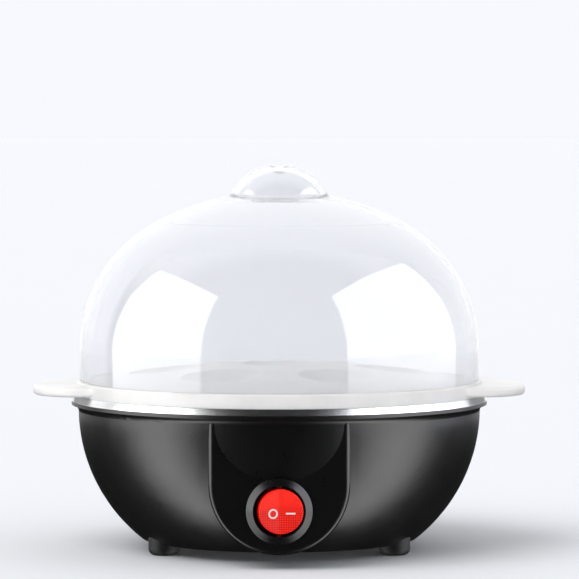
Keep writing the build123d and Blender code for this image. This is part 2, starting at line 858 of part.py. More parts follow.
# ---- Connectors, block, leads, gland -------------------------------------------------------
def sleeve(blade_tip, turn):
    """Insulated push-on connector over the end of a blade, which points as the turned Z axis does."""
    at_foot = (Align.CENTER, Align.CENTER, Align.MIN)
    shape = fillet(Box(sleeve_thick, sleeve_wide, sleeve_long, align=at_foot).edges(), sleeve_round)
    room = 2 * running_gap
    slot = Box(blade_thickness + room, blade_width + room, sleeve_overlap + room, align=at_foot)
    return Pos(*blade_tip) * turn * Pos(0, 0, -sleeve_overlap) * (shape - slot)


def sleeve_exit():
    """How far the end of a connector stands past the tip of its blade."""
    return sleeve_long - sleeve_overlap


def make_sleeves():
    """The push-on connectors: three on the switch, two on the thermostat, one on the earth blade."""
    tip_y = switch_rear() + blade_length
    pieces = [sleeve((x, tip_y, switch_height), Rot(-90, 0, 0)) for x in terminal_places()]
    height = stat_blade_height() - blade_thickness / 2
    pieces.append(sleeve((stat_blade_reach, 0, height), Rot(0, 90, 0)))
    pieces.append(sleeve((-stat_blade_reach, 0, height), Rot(0, -90, 0)))
    x, y = around(earth_blade_ring, earth_blade_angle)
    pieces.append(sleeve((x, y, pan_under - earth_blade_length), Rot(180, 0, 0)))
    return pieces


def make_earth_blade():
    """Blade welded under the pan for the earth lead."""
    x, y = around(earth_blade_ring, earth_blade_angle)
    thick, wide = blade_thickness / 2, blade_width / 2
    return slab((x - thick, x + thick), (y - wide, y + wide), (pan_under - earth_blade_length, pan_under))


def block_screw_places():
    """X of the two screws that hold the terminal block."""
    return (-pole_pitch / 2, pole_pitch / 2)


def block_base():
    """Height of the terminal block's underside."""
    return floor_top + block_boss


def clamp_places():
    """X and Y of the terminal block's clamp screws, two to a pole."""
    offsets = (-clamp_pitch / 2, clamp_pitch / 2)
    return [(pole * pole_pitch, block_place + offset) for pole in (-1, 0, 1) for offset in offsets]


def make_block():
    """Three-pole terminal block."""
    low = block_base()
    top = low + block_height
    half = block_length / 2
    front, back = block_place - block_depth / 2, block_place + block_depth / 2
    body = slab((-half, half), (front, back), (low, top))
    body = fillet(body.edges().filter_by(Axis.Z) + body.edges().group_by(Axis.Z)[-1], block_round)
    height = low + pole_height
    for x in (-pole_pitch, 0, pole_pitch):
        body = body - rod(clamp_bore, front, front + clamp_bore_depth, x, height)
        body = body - rod(clamp_bore, back - clamp_bore_depth, back, x, height)
    thread = clamp_screw_radius + press_gap
    body = body - [post(thread, height + clamp_bore, top, x, y) for x, y in clamp_places()]
    body = body - block_posts(block_screw_radius + screw_hole_gap, low, top)
    return body - block_posts(block_screw_head_radius + screw_hole_gap, low + block_height / 2, top)


def make_clamp_screws():
    """Clamp screws of the terminal block."""
    low = block_base() + pole_height + clamp_bore
    top = low + clamp_screw_length
    half = clamp_slot_width / 2
    across = (-clamp_screw_radius, clamp_screw_radius)
    slot = slab(across, (-half, half), (top - clamp_slot_depth, top))
    return [Pos(x, y) * (post(clamp_screw_radius, low, top) - slot) for x, y in clamp_places()]


def make_block_screws():
    """Screws that hold the terminal block to its bosses."""
    head_low = block_base() + block_height / 2
    heads = block_posts(block_screw_head_radius, head_low, head_low + block_screw_head)
    shanks = block_posts(block_screw_radius, floor_top + fit_gap, head_low)
    return [head + shank for head, shank in zip(heads, shanks)]


def make_crimps():
    """Closed crimps that join a lead to each cold pin."""
    crimps = []
    for x, y in pin_places():
        low = pin_end() - crimp_length / 2
        tube = post(crimp_radius, low, low + crimp_length, x, y)
        crimps.append(tube - post(pin_radius + press_gap, pin_end(), low + crimp_length, x, y))
    return crimps


def make_gland():
    """Rubber bush for the cord: collar outside, flange inside the boss."""
    inner_face = cord_face - housing_wall
    bush = rod(gland_barrel, inner_face, cord_face, z=cord_height)
    collar = rod(gland_collar, cord_face, cord_face + gland_collar_length, z=cord_height)
    collar = fillet(collar.edges().group_by(Axis.Y)[-1], gland_round)
    flange = rod(gland_flange, inner_face - gland_flange_length, inner_face, z=cord_height)
    reach = rod(gland_barrel, inner_face - 2 * gland_flange_length, inner_face, z=cord_height)
    return bush + collar + flange + reach - rod(gland_bore, 0, 2 * cord_face, z=cord_height)


def make_leads():
    """Internal leads, each from one named end to the other."""
    clamp = block_place - block_depth / 2 + clamp_bore_depth - lead_short
    pole_z = block_base() + pole_height
    thin_rise = thin_lead_radius + running_gap
    back = switch_rear() + blade_length + sleeve_exit()
    out = back + 5
    up = switch_height
    live_x, load_x, lamp_x = terminal_places()
    stat_out = stat_blade_reach + sleeve_exit()
    stat_z = stat_blade_height() - blade_thickness / 2
    (left_x, left_y), (right_x, right_y) = pin_places()
    crimp_low = pin_end() - crimp_length / 2
    earth_x, earth_y = around(earth_blade_ring, earth_blade_angle)
    earth_low = pan_under - earth_blade_length - sleeve_exit()
    near, near_out, far, far_out = [
        tuple((fuse_frame() * Pos(reach, 0, 0)).position)
        for reach in (sleeve_length / 2, sleeve_length / 2 + 5, -sleeve_length / 2, -sleeve_length / 2 - 4.3)
    ]
    return {
        "lead_live": lead([
            (-pole_pitch, clamp, pole_z), (-pole_pitch, 21, pole_z), (-14, 8, 12), (-15, -8, 13.5),
            (-11, -22, 18), (live_x, out, up), (live_x, back, up)]),
        "lead_lamp": lead([
            (pole_pitch, clamp, pole_z - thin_rise), (pole_pitch, 20, pole_z - thin_rise), (13, 6, 11),
            (13.5, -8, 12.5), (9.5, -22, 17), (lamp_x, out, up), (lamp_x, back, up)], thin_lead_radius),
        "lead_neutral": lead([
            (pole_pitch, clamp, pole_z + thin_rise), (pole_pitch, 15, pole_z + thin_rise), (12.5, 10, 14.3),
            (18, 11.5, 14), (right_x + 3, right_y - 5, 14.5), (right_x, right_y, crimp_low - 4.5),
            (right_x, right_y, crimp_low)], thin_lead_radius),
        "lead_load": lead([
            (load_x, back, up), (load_x, out, up), (6, -24, 22), (18, -17, 21), (30, -12, 22),
            (34, -4, 25.5), (stat_out + 6.5, 0, stat_z), (stat_out, 0, stat_z)]),
        "lead_heater": lead([
            (-stat_out, 0, stat_z), (-stat_out - 5.5, 0, stat_z), (-34, -1.5, 28), (-38, 0, 31.5),
            near_out, near]),
        "lead_fuse": lead([
            far, far_out, (-25, 28, 29), (-23.5, 27.5, 20),
            (left_x - 3.6, left_y + 1.8, 15.5), (left_x, left_y, crimp_low - 4.5),
            (left_x, left_y, crimp_low)]),
        "lead_earth": lead([
            (0, clamp, pole_z), (0, 19, pole_z), (-2, 6, 10), (-6.5, -8, 9.8), (-14, -21, 11.5),
            (earth_x + 2.5, earth_y + 5, 14), (earth_x, earth_y, earth_low - 5.4),
            (earth_x, earth_y, earth_low)]),
    }


# ---- Tray and lid --------------------------------------------------------------------------
def crown_sphere():
    """Radius of the tray's crown."""
    return (crown_edge ** 2 + crown_rise ** 2) / (2 * crown_rise)


def crown_at(radius, drop=0.0):
    """Height of the crown's top surface, or of a surface parallel to it and lower."""
    sphere = crown_sphere()
    return ledge_height + crown_rise - sphere + sqrt((sphere - drop) ** 2 - radius ** 2)


def crown_body(drop=0.0):
    """Everything under the crown, or under a surface parallel to it, down to the skirt's end."""
    low = pan_top - skirt_depth
    edge, half, middle = [(radius, crown_at(radius, drop)) for radius in (crown_edge, crown_edge / 2, 0)]
    return turned(
        Line((0, low), (crown_edge, low)),
        Line((crown_edge, low), edge),
        ThreePointArc(edge, half, middle),
        Line(middle, (0, low)),
    )


def seat_height(ring):
    """Height of a seat's sphere centre, so that it meets the crown in a circle of the rim's radius."""
    reach = sqrt(crown_sphere() ** 2 - seat_rim_radius ** 2) + sqrt(seat_sphere ** 2 - seat_rim_radius ** 2)
    return ledge_height + crown_rise - crown_sphere() + sqrt(reach ** 2 - ring ** 2)


def seat_centres():
    """Centres of the egg seats' spheres: one in the middle and a ring round it."""
    ring = [around(seat_ring, turn * 360 / seat_count) for turn in range(seat_count)]
    return [(0.0, 0.0, seat_height(0.0))] + [(x, y, seat_height(seat_ring)) for x, y in ring]


def ear_plan():
    """Outline of the tray's rim with its two round tongues, blended where they leave it."""
    plan = Circle(tray_radius)
    for side in (-1, 1):
        plan = plan + Pos(side * (ear_tip - ear_circle), 0) * Circle(ear_circle)
    corners = [v for v in plan.vertices() if abs(outside_rim(v)) < match]
    return fillet(corners, ear_blend)


def outside_rim(place):
    """How far a point lies outside the round of the tray's rim."""
    return sqrt(place.X ** 2 + place.Y ** 2) - tray_radius


def make_ears():
    """Two lifting ears, each a round tongue that droops a little towards its tip."""
    ring = Pos(0, 0, ear_low) * extrude(ear_plan(), ear_high - ear_low)
    ring = ring - post(tray_radius - tray_wall / 2, 0, 2 * ear_high)
    levels = ring.edges().group_by(Axis.Z)
    ring = fillet([e for e in levels[0] + levels[-1] if outside_rim(e @ 0.5) > match], ear_edge)
    ears = []
    for side in (-1, 1):
        near, far = sorted((side * tray_radius / 2, side * 2 * tray_radius))
        ear = ring & slab((near, far), (-tray_radius, tray_radius), (0, 2 * ear_high))
        root = Pos(side * tray_radius, 0, ear_high)
        ears.append(root * Rot(0, side * ear_droop, 0) * root.inverse() * ear)
    return ears


def make_tray():
    """Moulded tray: band, ledge for the lid, crowned top with egg seats, skirt and ears."""
    inner = tray_radius - tray_wall
    low = pan_top - skirt_depth
    rim = post(tray_radius, pan_top, ledge_height) - post(inner, pan_top, ledge_height - tray_wall)
    rim = fillet(rim.edges().group_by(Axis.Z)[-1], ledge_round)
    hollow = crown_body(tray_wall)
    for place in seat_centres():
        hollow = hollow - ball(seat_sphere + seat_wall, *place)
    skirt = post(skirt_radius, low, ledge_height) - post(skirt_radius - skirt_wall, low, ledge_height)
    body = rim - crown_body() + (crown_body() - hollow) + (skirt & crown_body(tray_wall / 2))
    for x, y, z in seat_centres():
        body = body - ball(seat_sphere, x, y, z) - post(steam_hole, 0, 2 * ledge_height, x, y)
    return fillet(seat_rims(body), seat_rim_round) + make_ears()


def seat_rims(body):
    """The circles where the egg seats meet the crown's top."""
    return [e for e in body.edges().filter_by(GeomType.CIRCLE) if abs(e.radius - seat_rim_radius) < match]


def crown_centre():
    """Height of the centre of the lid's crown arc, so placed that the shoulder arc meets it smoothly."""
    drop = crown_arc_radius - shoulder_radius
    return lid_straight - sqrt(drop ** 2 - (lid_radius - shoulder_radius) ** 2)


def lid_crown_at(radius, inset=0.0):
    """Height of the lid's crown, or of a surface inside it, at a distance from the axis."""
    return crown_centre() + sqrt((crown_arc_radius - inset) ** 2 - radius ** 2)


def lid_outline(inset):
    """Wall, shoulder and crown of the lid, as a full body inset from its outer surface."""
    wall = lid_radius - inset
    shoulder_x = lid_radius - shoulder_radius
    shoulder_end = acos(shoulder_x / (crown_arc_radius - shoulder_radius))
    reach = shoulder_radius - inset
    shoulder = (shoulder_x + reach * cos(shoulder_end / 2), lid_straight + reach * sin(shoulder_end / 2))
    joint_x = (crown_arc_radius - inset) * cos(shoulder_end)
    joint, half, middle = [(x, lid_crown_at(x, inset)) for x in (joint_x, joint_x / 2, 0)]
    return turned(
        Line((0, ledge_height), (wall, ledge_height)),
        Line((wall, ledge_height), (wall, lid_straight)),
        ThreePointArc((wall, lid_straight), shoulder, joint),
        ThreePointArc(joint, half, middle),
        Line(middle, (0, ledge_height)),
    )


def knob_centre():
    """Height of the centre of the knob's dome."""
    return lid_crown_at(knob_radius) - sqrt(knob_sphere ** 2 - knob_radius ** 2)


def with_knob(body, sphere, blend):
    """The body with a dome on its crown, the joint between them rounded."""
    joined = body + ball(sphere, 0, 0, knob_centre())
    rounds = joined.edges().filter_by(GeomType.CIRCLE)
    return fillet([e for e in rounds if abs(e.radius - knob_radius) < knob_wall + lid_wall], blend)


def make_lid():
    """Clear lid with a hollow knob, a shallow groove across it and a steam vent."""
    top = knob_centre() + knob_sphere
    groove_floor = top - groove_depth
    groove = rod(groove_radius, -knob_sphere, knob_sphere, z=groove_floor + groove_radius)
    grooved = with_knob(lid_outline(0.0), knob_sphere, knob_blend) - groove
    brims = [e for e in grooved.edges().filter_by(GeomType.BSPLINE) if e.center().Z > groove_floor]
    inside = with_knob(lid_outline(lid_wall), knob_sphere - knob_wall, knob_blend + lid_wall)
    return fillet(brims, groove_round) - inside - post(steam_vent, knob_centre(), top)


def main():
    """Write every piece."""
    os.makedirs("parts", exist_ok=True)
    housing = make_housing()
    save("base_housing", housing)
    for name, angle in foot_angles.items():
        save(name, make_foot(angle, housing))
    save("water_pan", make_pan())
    save("pan_seal", make_seal())
    save("pan_standoffs", *make_standoffs())
    save("pan_screws", *make_pan_screws())
    save("heater_plate", make_heater_plate())
    save("heating_element", make_element())
    save("element_pins", *make_pins())
    save("pin_crimps", *make_crimps())
    save("thermostat", make_thermostat())
    save("thermostat_blades", *make_stat_blades())
    save("thermostat_screws", *make_stat_screws())
    save("thermal_fuse", make_fuse())
    save("fuse_sleeve", make_fuse_sleeve())
    save("fuse_clip", make_fuse_clip())
    save("switch_body", make_switch_body())
    save("switch_terminals", *make_terminals())
    save("switch_seesaw", make_seesaw())
    save("rocker", make_rocker())
    save("rocker_marks", *make_marks())
    save("rocker_plunger", make_plunger())
    save("plunger_spring", make_spring())
    save("neon_lamp", make_neon())
    save("lamp_resistor", make_resistor())
    save("lamp_leads", *make_lamp_leads())
    save("push_on_connectors", *make_sleeves())
    save("earth_blade", make_earth_blade())
    save("terminal_block", make_block())
    save("clamp_screws", *make_clamp_screws())
    save("block_screws", *make_block_screws())
    save("cord_gland", make_gland())
    for name, shape in make_leads().items():
        save(name, shape)
    save("egg_tray", make_tray())
    save("lid", make_lid())


if __name__ == "__main__":
    main()
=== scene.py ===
import json
import math

import bpy
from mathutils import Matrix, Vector


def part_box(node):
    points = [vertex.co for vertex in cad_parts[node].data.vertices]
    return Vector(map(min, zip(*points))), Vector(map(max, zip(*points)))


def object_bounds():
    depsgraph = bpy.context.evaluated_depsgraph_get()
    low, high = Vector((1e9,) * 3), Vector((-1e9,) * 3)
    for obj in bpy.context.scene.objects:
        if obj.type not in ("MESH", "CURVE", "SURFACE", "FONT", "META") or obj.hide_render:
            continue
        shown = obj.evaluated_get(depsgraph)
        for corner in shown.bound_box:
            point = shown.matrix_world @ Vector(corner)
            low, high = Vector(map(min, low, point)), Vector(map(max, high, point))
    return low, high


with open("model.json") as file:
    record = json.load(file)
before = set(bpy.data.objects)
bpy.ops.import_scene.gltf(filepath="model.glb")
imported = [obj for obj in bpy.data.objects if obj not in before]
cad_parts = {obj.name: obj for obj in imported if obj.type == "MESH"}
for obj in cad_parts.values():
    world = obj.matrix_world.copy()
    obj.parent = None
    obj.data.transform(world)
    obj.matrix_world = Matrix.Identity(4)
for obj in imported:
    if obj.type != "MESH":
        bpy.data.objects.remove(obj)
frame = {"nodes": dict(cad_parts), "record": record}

# Egg cooker: every CAD piece keeps its mesh and gets its own procedural material.
# Metres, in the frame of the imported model.
cad_box = [list(corner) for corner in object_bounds()]
floor_level = cad_box[0][2]

MM = 0.001

# Camera and floor
CAMERA_PLACE = Vector((0.0, -1.25, 0.151))
CAMERA_AIM = Vector((0.0037, 0.0, 0.0933))
CAMERA_LENS = 215.3
SENSOR_WIDTH = 36.0
FLOOR_SIZE = 120.0

# Light: tones are linear
PALE_TONE = (0.925, 0.945, 0.99)    # seen directly and through the lid
SOFT_TONE = (0.72, 0.72, 0.73)      # falls on matt faces
FRONT_TONE = (0.012, 0.012, 0.012)  # mirrored from the camera's side
INNER_TONE = (0.7, 0.7, 0.74)       # the same, mirrored inside clear pieces
BACK_TONE = (1.25, 1.26, 1.3)       # mirrored from behind and above
PANELS = (      # tone, azimuth from the camera's side, left, right, bottom, top, softness
    ((4.3, 4.3, 4.3), -75, -0.72, 0.57, -0.10, 1.1, 0.02),
    ((3.9, 3.95, 4.3), 75, -0.72, 1.06, -0.10, 1.25, 0.02),
    ((4.6, 4.6, 4.6), -74, -0.30, 0.32, -2.6, 0.0, 0.24),
    ((4.2, 4.2, 4.2), 70, -0.36, 0.42, -2.6, 0.0, 0.24),
)
SKY_LIGHT = (-50, 50, 1.41, 50)     # azimuth, height, strength, softness

# Red rocker
GRID_PITCH = 0.8 * MM               # of the square grid low on its face
GRID_LINE = (0.05, 0.22)            # from a line's dark middle to its edge, in shares of the pitch
GRID_FADE = (-1 * MM, 2 * MM)       # the grid fades out between these heights over the rocker's middle
PAINTED_SHADE_DEPTH = (2.8 * MM, 4.2 * MM)   # painted shade: the red goes dark between these depths behind its front
# Strength of the rocker's painted glow: it stands for the neon lamp's light through the red, and also fills
# the shade on its right half
ROCKER_PAINTED_GLOW = 0.75

# Fine structure of the metals
SCRATCH = 0.4 * MM
RING_PITCH = 0.35 * MM
THREAD_PITCH = 0.7 * MM
THREAD_LEAN = (0.78, -0.78)         # turn of the two sets of threads of the woven sleeve
THREAD_TILT = 0.4


# ---- Node helpers --------------------------------------------------------------------------
class Nodes:
    """The node tree of a new material or world, with short calls to add and link nodes."""

    def __init__(self, name, world=False):
        self.owner = (bpy.data.worlds if world else bpy.data.materials).new(name)
        self.owner.use_nodes = True
        self.tree = self.owner.node_tree
        self.tree.nodes.clear()
        self.output = self.add("ShaderNodeOutputWorld" if world else "ShaderNodeOutputMaterial")
        self.coords = self.add("ShaderNodeTexCoord").outputs["Generated" if world else "Object"]

    def add(self, kind, **values):
        node = self.tree.nodes.new(kind)
        for key, value in values.items():
            setattr(node, key, value)
        return node

    def put(self, value, socket):
        """Links a socket, or sets a number or a colour."""
        if isinstance(value, bpy.types.NodeSocket):
            self.tree.links.new(value, socket)
        elif isinstance(value, tuple):
            socket.default_value = (*value, 1.0)
        else:
            socket.default_value = value

    def principled(self, **inputs):
        shader = self.add("ShaderNodeBsdfPrincipled")
        for key, value in inputs.items():
            self.put(value, shader.inputs[key.replace("_", " ")])
        return shader

    def noise(self, size, detail=3.0, roughness=0.55, coords=None):
        """Noise whose blobs are about size metres across."""
        texture = self.add("ShaderNodeTexNoise")
        texture.inputs["Scale"].default_value = 1.0 / size
        texture.inputs["Detail"].default_value = detail
        texture.inputs["Roughness"].default_value = roughness
        self.put(coords or self.coords, texture.inputs["Vector"])
        return texture.outputs["Fac"]

    def span(self, value, out_low, out_high, in_low=0.3, in_high=0.7):
        """A value mapped to a range, and held inside it."""
        node = self.add("ShaderNodeMapRange")
        limits = {"From Min": in_low, "From Max": in_high, "To Min": out_low, "To Max": out_high}
        for key, number in limits.items():
            node.inputs[key].default_value = number
        self.put(value, node.inputs["Value"])
        return node.outputs["Result"]

    def rise(self, value, start, end):
        """0 up to the start, 1 from the end on."""
        return self.span(value, 0.0, 1.0, start, end)

    def blotches(self, size, detail=3.0):
        """Soft patches from 0 to 1, about size metres across."""
        return self.span(self.noise(size, detail), 0.0, 1.0)

    def blend(self, factor, first, second):
        """Two colours or sockets mixed by a factor socket."""
        node = self.add("ShaderNodeMix", data_type="RGBA")
        self.put(factor, node.inputs["Factor"])
        self.put(first, node.inputs["A"])
        self.put(second, node.inputs["B"])
        return node.outputs["Result"]

    def maths(self, operation, *values):
        node = self.add("ShaderNodeMath", operation=operation)
        for socket, value in zip(node.inputs, values):
            self.put(value, socket)
        return node.outputs["Value"]

    def product(self, *values):
        """Several sockets multiplied together."""
        total = values[0]
        for value in values[1:]:
            total = self.maths("MULTIPLY", total, value)
        return total

    def axes(self):
        """The coordinates as three sockets."""
        split = self.add("ShaderNodeSeparateXYZ")
        self.put(self.coords, split.inputs[0])
        return [split.outputs[axis] for axis in "XYZ"]

    def edges(self, radius):
        """1 on edges sharper than a rounding of this radius, 0 on open faces."""
        bevel = self.add("ShaderNodeBevel", samples=4)
        bevel.inputs["Radius"].default_value = radius
        geometry = self.add("ShaderNodeNewGeometry")
        dot = self.add("ShaderNodeVectorMath", operation="DOT_PRODUCT")
        self.put(bevel.outputs["Normal"], dot.inputs[0])
        self.put(geometry.outputs["Normal"], dot.inputs[1])
        return self.span(dot.outputs["Value"], 1.0, 0.0, 0.75, 0.98)

    def surface(self, shader, colour, gloss=None, height=None, depth=0.0):
        """Sets a shader's colour, its roughness, and a bump that is depth metres high for a height of one."""
        self.put(colour, shader.inputs["Base Color"])
        if gloss is not None:
            self.put(gloss, shader.inputs["Roughness"])
        if height is not None:
            bump = self.add("ShaderNodeBump")
            bump.inputs["Strength"].default_value = 1.0
            bump.inputs["Distance"].default_value = depth
            self.put(height, bump.inputs["Height"])
            self.put(bump.outputs["Normal"], shader.inputs["Normal"])

    def finish(self, shader):
        self.put(shader.outputs[0], self.output.inputs["Surface"])
        return self.owner


# ---- Kinds of material -----------------------------------------------------------------------
def moulded(name, colour, worn_and_lit_edge_colour, gloss, grain=0.6 * MM, depth=0.012 * MM, edge=0.5 * MM, **inputs):
    """Moulded plastic or rubber: faint mottling, edges lightened as wear and as a painted highlight, uneven
    gloss and a fine grain.
    """
    nodes = Nodes(name)
    shader = nodes.principled(**inputs)
    deep = tuple(channel * 0.86 for channel in colour)
    base = nodes.blend(nodes.blotches(18 * MM, 4.0), deep, colour)
    # Lighter sharp edges: partly wear, partly a painted highlight along the edges
    worn_and_lit_edges = nodes.product(nodes.edges(edge), nodes.span(nodes.noise(5 * MM), 0.1, 0.8))
    smear = nodes.span(nodes.noise(9 * MM, 5.0, 0.65), *gloss)
    nodes.surface(shader, nodes.blend(worn_and_lit_edges, base, worn_and_lit_edge_colour), smear, nodes.noise(grain, 2.0), depth)
    return nodes.finish(shader)


def metal(name, colour, dark, gloss, depth=0.004 * MM):
    """Bare metal with fine scratches and a little staining."""
    nodes = Nodes(name)
    shader = nodes.principled(Metallic=1.0)
    scratches = nodes.noise(SCRATCH, 3.0, 0.6)
    stained = nodes.blend(nodes.blotches(14 * MM, 4.0), dark, colour)
    nodes.surface(shader, stained, nodes.span(scratches, *gloss), scratches, depth)
    return nodes.finish(shader)


def insulation(name, colour):
    """Soft plastic round a wire."""
    # Lighter edges, as wear and as a painted highlight
    worn_and_lit_edge_colour = tuple(min(1.0, channel * 1.3 + 0.02) for channel in colour)
    return moulded(name, colour, worn_and_lit_edge_colour, (0.35, 0.5), grain=0.5 * MM, edge=0.2 * MM)


# ---- Materials made of their own nodes ---------------------------------------------------------
def clear_plastic():
    """Clear moulding, slightly milky and lavender, which lets light from lamps through."""
    nodes = Nodes("clear_plastic")
    shader = nodes.principled(Transmission_Weight=0.88, IOR=1.49)
    haze = nodes.blend(nodes.blotches(30 * MM), (0.972, 0.982, 1.0), (0.98, 0.987, 1.0))
    smear = nodes.span(nodes.noise(12 * MM, 4.0), 0.004, 0.02)
    nodes.surface(shader, haze, smear, nodes.noise(22 * MM, 1.0), 0.006 * MM)
    clear = nodes.add("ShaderNodeBsdfTransparent")
    clear.inputs["Color"].default_value = (0.97, 0.97, 0.98, 1.0)
    mix = nodes.add("ShaderNodeMixShader")
    nodes.put(nodes.add("ShaderNodeLightPath").outputs["Is Shadow Ray"], mix.inputs["Fac"])
    nodes.put(shader.outputs[0], mix.inputs[1])
    nodes.put(clear.outputs[0], mix.inputs[2])
    return nodes.finish(mix)


def red_translucent():
    """Red moulding that lets light through: a square grid low on its face, a painted glow, and painted shade
    down in the switch.
    """
    nodes = Nodes("red_translucent")
    shader = nodes.principled(Specular_IOR_Level=0.25, Emission_Strength=ROCKER_PAINTED_GLOW)
    x, y, z = nodes.axes()
    (_, front, bottom), (_, _, top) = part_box("rocker")
    middle = (bottom + top) / 2
    waves = [nodes.maths("PINGPONG", nodes.maths("DIVIDE", axis, GRID_PITCH), 0.5) for axis in (x, z)]
    cell = nodes.rise(nodes.maths("MINIMUM", *waves), *GRID_LINE)
    plain = nodes.rise(z, *(middle + height for height in GRID_FADE))
    grid = nodes.maths("MAXIMUM", cell, plain)
    # Painted shade: 0 at the rocker's front, 1 deep in the switch
    depth = nodes.rise(y, *(front + distance for distance in PAINTED_SHADE_DEPTH))
    cloud = nodes.blotches(4 * MM)
    bright = nodes.blend(cloud, (0.76, 0.010, 0.004), (0.86, 0.018, 0.007))
    plastic = nodes.blend(cloud, (0.36, 0.010, 0.006), (0.42, 0.014, 0.008))
    # Painted glow: the emission colour, dimmer on the grid lines
    painted_glow = nodes.blend(grid, (0.42, 0.003, 0.002), bright)
    body = nodes.blend(grid, (0.22, 0.003, 0.002), plastic)
    # Painted shade: the glow and the red fade to near black deep in the switch
    nodes.put(nodes.blend(depth, painted_glow, (0.03, 0.0, 0.0)), shader.inputs["Emission Color"])
    smear = nodes.span(nodes.noise(3 * MM), 0.26, 0.38)
    nodes.surface(shader, nodes.blend(depth, body, (0.06, 0.001, 0.001)), smear, grid, 0.03 * MM)
    return nodes.finish(shader)


def brushed_pan():
    """Spun steel: rings of fine scratches about the pan's axis."""
    nodes = Nodes("brushed_pan")
    shader = nodes.principled(Metallic=1.0)
    x, y, z = nodes.axes()
    squares = [nodes.maths("POWER", axis, 2.0) for axis in (x, y)]
    join = nodes.add("ShaderNodeCombineXYZ")
    nodes.put(nodes.maths("SQRT", nodes.maths("ADD", *squares)), join.inputs["X"])
    nodes.put(z, join.inputs["Z"])
    rings = nodes.noise(RING_PITCH, 4.0, 0.5, join.outputs[0])
    stained = nodes.blend(nodes.blotches(16 * MM, 4.0), (0.68, 0.68, 0.68), (0.8, 0.8, 0.79))
    nodes.surface(shader, stained, nodes.span(rings, 0.14, 0.26), rings, 0.002 * MM)
    return nodes.finish(shader)


def glass_sleeve():
    """Woven glass sleeve: two crossing sets of fine threads."""
    nodes = Nodes("glass_sleeve")
    shader = nodes.principled(Roughness=0.85)
    waves = []
    for turn in THREAD_LEAN:
        mapping = nodes.add("ShaderNodeMapping")
        mapping.inputs["Rotation"].default_value = (THREAD_TILT, 0.0, turn)
        nodes.put(nodes.coords, mapping.inputs["Vector"])
        wave = nodes.add("ShaderNodeTexWave")
        wave.inputs["Scale"].default_value = 0.3 / THREAD_PITCH
        nodes.put(mapping.outputs["Vector"], wave.inputs["Vector"])
        waves.append(wave.outputs["Fac"])
    weave = nodes.maths("MAXIMUM", *waves)
    nodes.surface(
        shader, nodes.blend(weave, (0.55, 0.53, 0.46), (0.86, 0.84, 0.78)), height=weave, depth=0.08 * MM)
    return nodes.finish(shader)


def lamp_glass():
    """Thin pinkish glass of the neon lamp."""
    nodes = Nodes("lamp_glass")
    shader = nodes.principled(Transmission_Weight=0.9, IOR=1.47)
    tint = nodes.blend(nodes.blotches(2 * MM), (0.95, 0.8, 0.75), (0.98, 0.9, 0.86))
    nodes.surface(shader, tint, nodes.span(nodes.noise(1 * MM), 0.02, 0.08))
    return nodes.finish(shader)


# ---- Materials of each kind: colour, colour of worn and painted-highlight edges or of stains, range of roughness ---
OWN_NODES = (clear_plastic, red_translucent, brushed_pan, glass_sleeve, lamp_glass)

MOULDED = {
    "black_plastic": (
        (0.003, 0.003, 0.0031), (0.012, 0.012, 0.013), (0.27, 0.32),
        {"grain": 0.4 * MM, "depth": 0.002 * MM}),
    "black_nylon": (
        (0.004, 0.004, 0.0042), (0.03, 0.03, 0.031), (0.2, 0.3),
        {"grain": 0.3 * MM, "depth": 0.008 * MM, "edge": 0.25 * MM}),
    "black_rubber": (
        (0.006, 0.006, 0.006), (0.02, 0.02, 0.019), (0.5, 0.62),
        {"grain": 0.3 * MM, "depth": 0.02 * MM, "Specular_IOR_Level": 0.25}),
    "white_plastic": (
        (0.86, 0.85, 0.83), (0.92, 0.91, 0.89), (0.28, 0.4),
        {"grain": 1.5 * MM, "depth": 0.006 * MM, "edge": 0.4 * MM,
         "Subsurface_Weight": 0.15, "Subsurface_Scale": 2 * MM}),
    "white_print": ((0.86, 0.82, 0.78), (0.95, 0.9, 0.88), (0.4, 0.5), {"edge": 0.05 * MM}),
    "silicone": ((0.62, 0.62, 0.61), (0.75, 0.75, 0.74), (0.45, 0.6), {"grain": 0.8 * MM}),
    "resistor_body": ((0.5, 0.36, 0.2), (0.7, 0.6, 0.4), (0.3, 0.4), {"grain": 0.3 * MM}),
    "white_nylon": ((0.8, 0.79, 0.75), (0.9, 0.89, 0.86), (0.38, 0.5), {}),
    "connector_nylon": ((0.72, 0.68, 0.58), (0.85, 0.82, 0.74), (0.3, 0.44), {}),
    "thermostat_body": ((0.05, 0.035, 0.028), (0.16, 0.12, 0.1), (0.4, 0.55), {}),
}

METALS = {
    "bright_steel": ((0.66, 0.66, 0.65), (0.5, 0.5, 0.5), (0.2, 0.36), {}),
    "zinc_screws": ((0.6, 0.6, 0.58), (0.42, 0.42, 0.4), (0.3, 0.48), {}),
    "brass_parts": ((0.78, 0.58, 0.26), (0.5, 0.34, 0.14), (0.22, 0.42), {}),
    "aluminium_plate": ((0.72, 0.73, 0.74), (0.55, 0.55, 0.56), (0.36, 0.55), {"depth": 0.03 * MM}),
    "element_tube": ((0.2, 0.2, 0.21), (0.09, 0.09, 0.1), (0.45, 0.65), {}),
}

INSULATION = {
    "white_insulation": (0.78, 0.77, 0.73),
    "brown_insulation": (0.16, 0.06, 0.03),
    "blue_insulation": (0.03, 0.12, 0.45),
    "earth_insulation": (0.2, 0.5, 0.06),
}


def make_material(name):
    """The material of a slot."""
    if name in INSULATION:
        return insulation(name, INSULATION[name])
    for kind, table in ((moulded, MOULDED), (metal, METALS)):
        if name in table:
            *tones, inputs = table[name]
            return kind(name, *tones, **inputs)
    return {make.__name__: make for make in OWN_NODES}[name]()


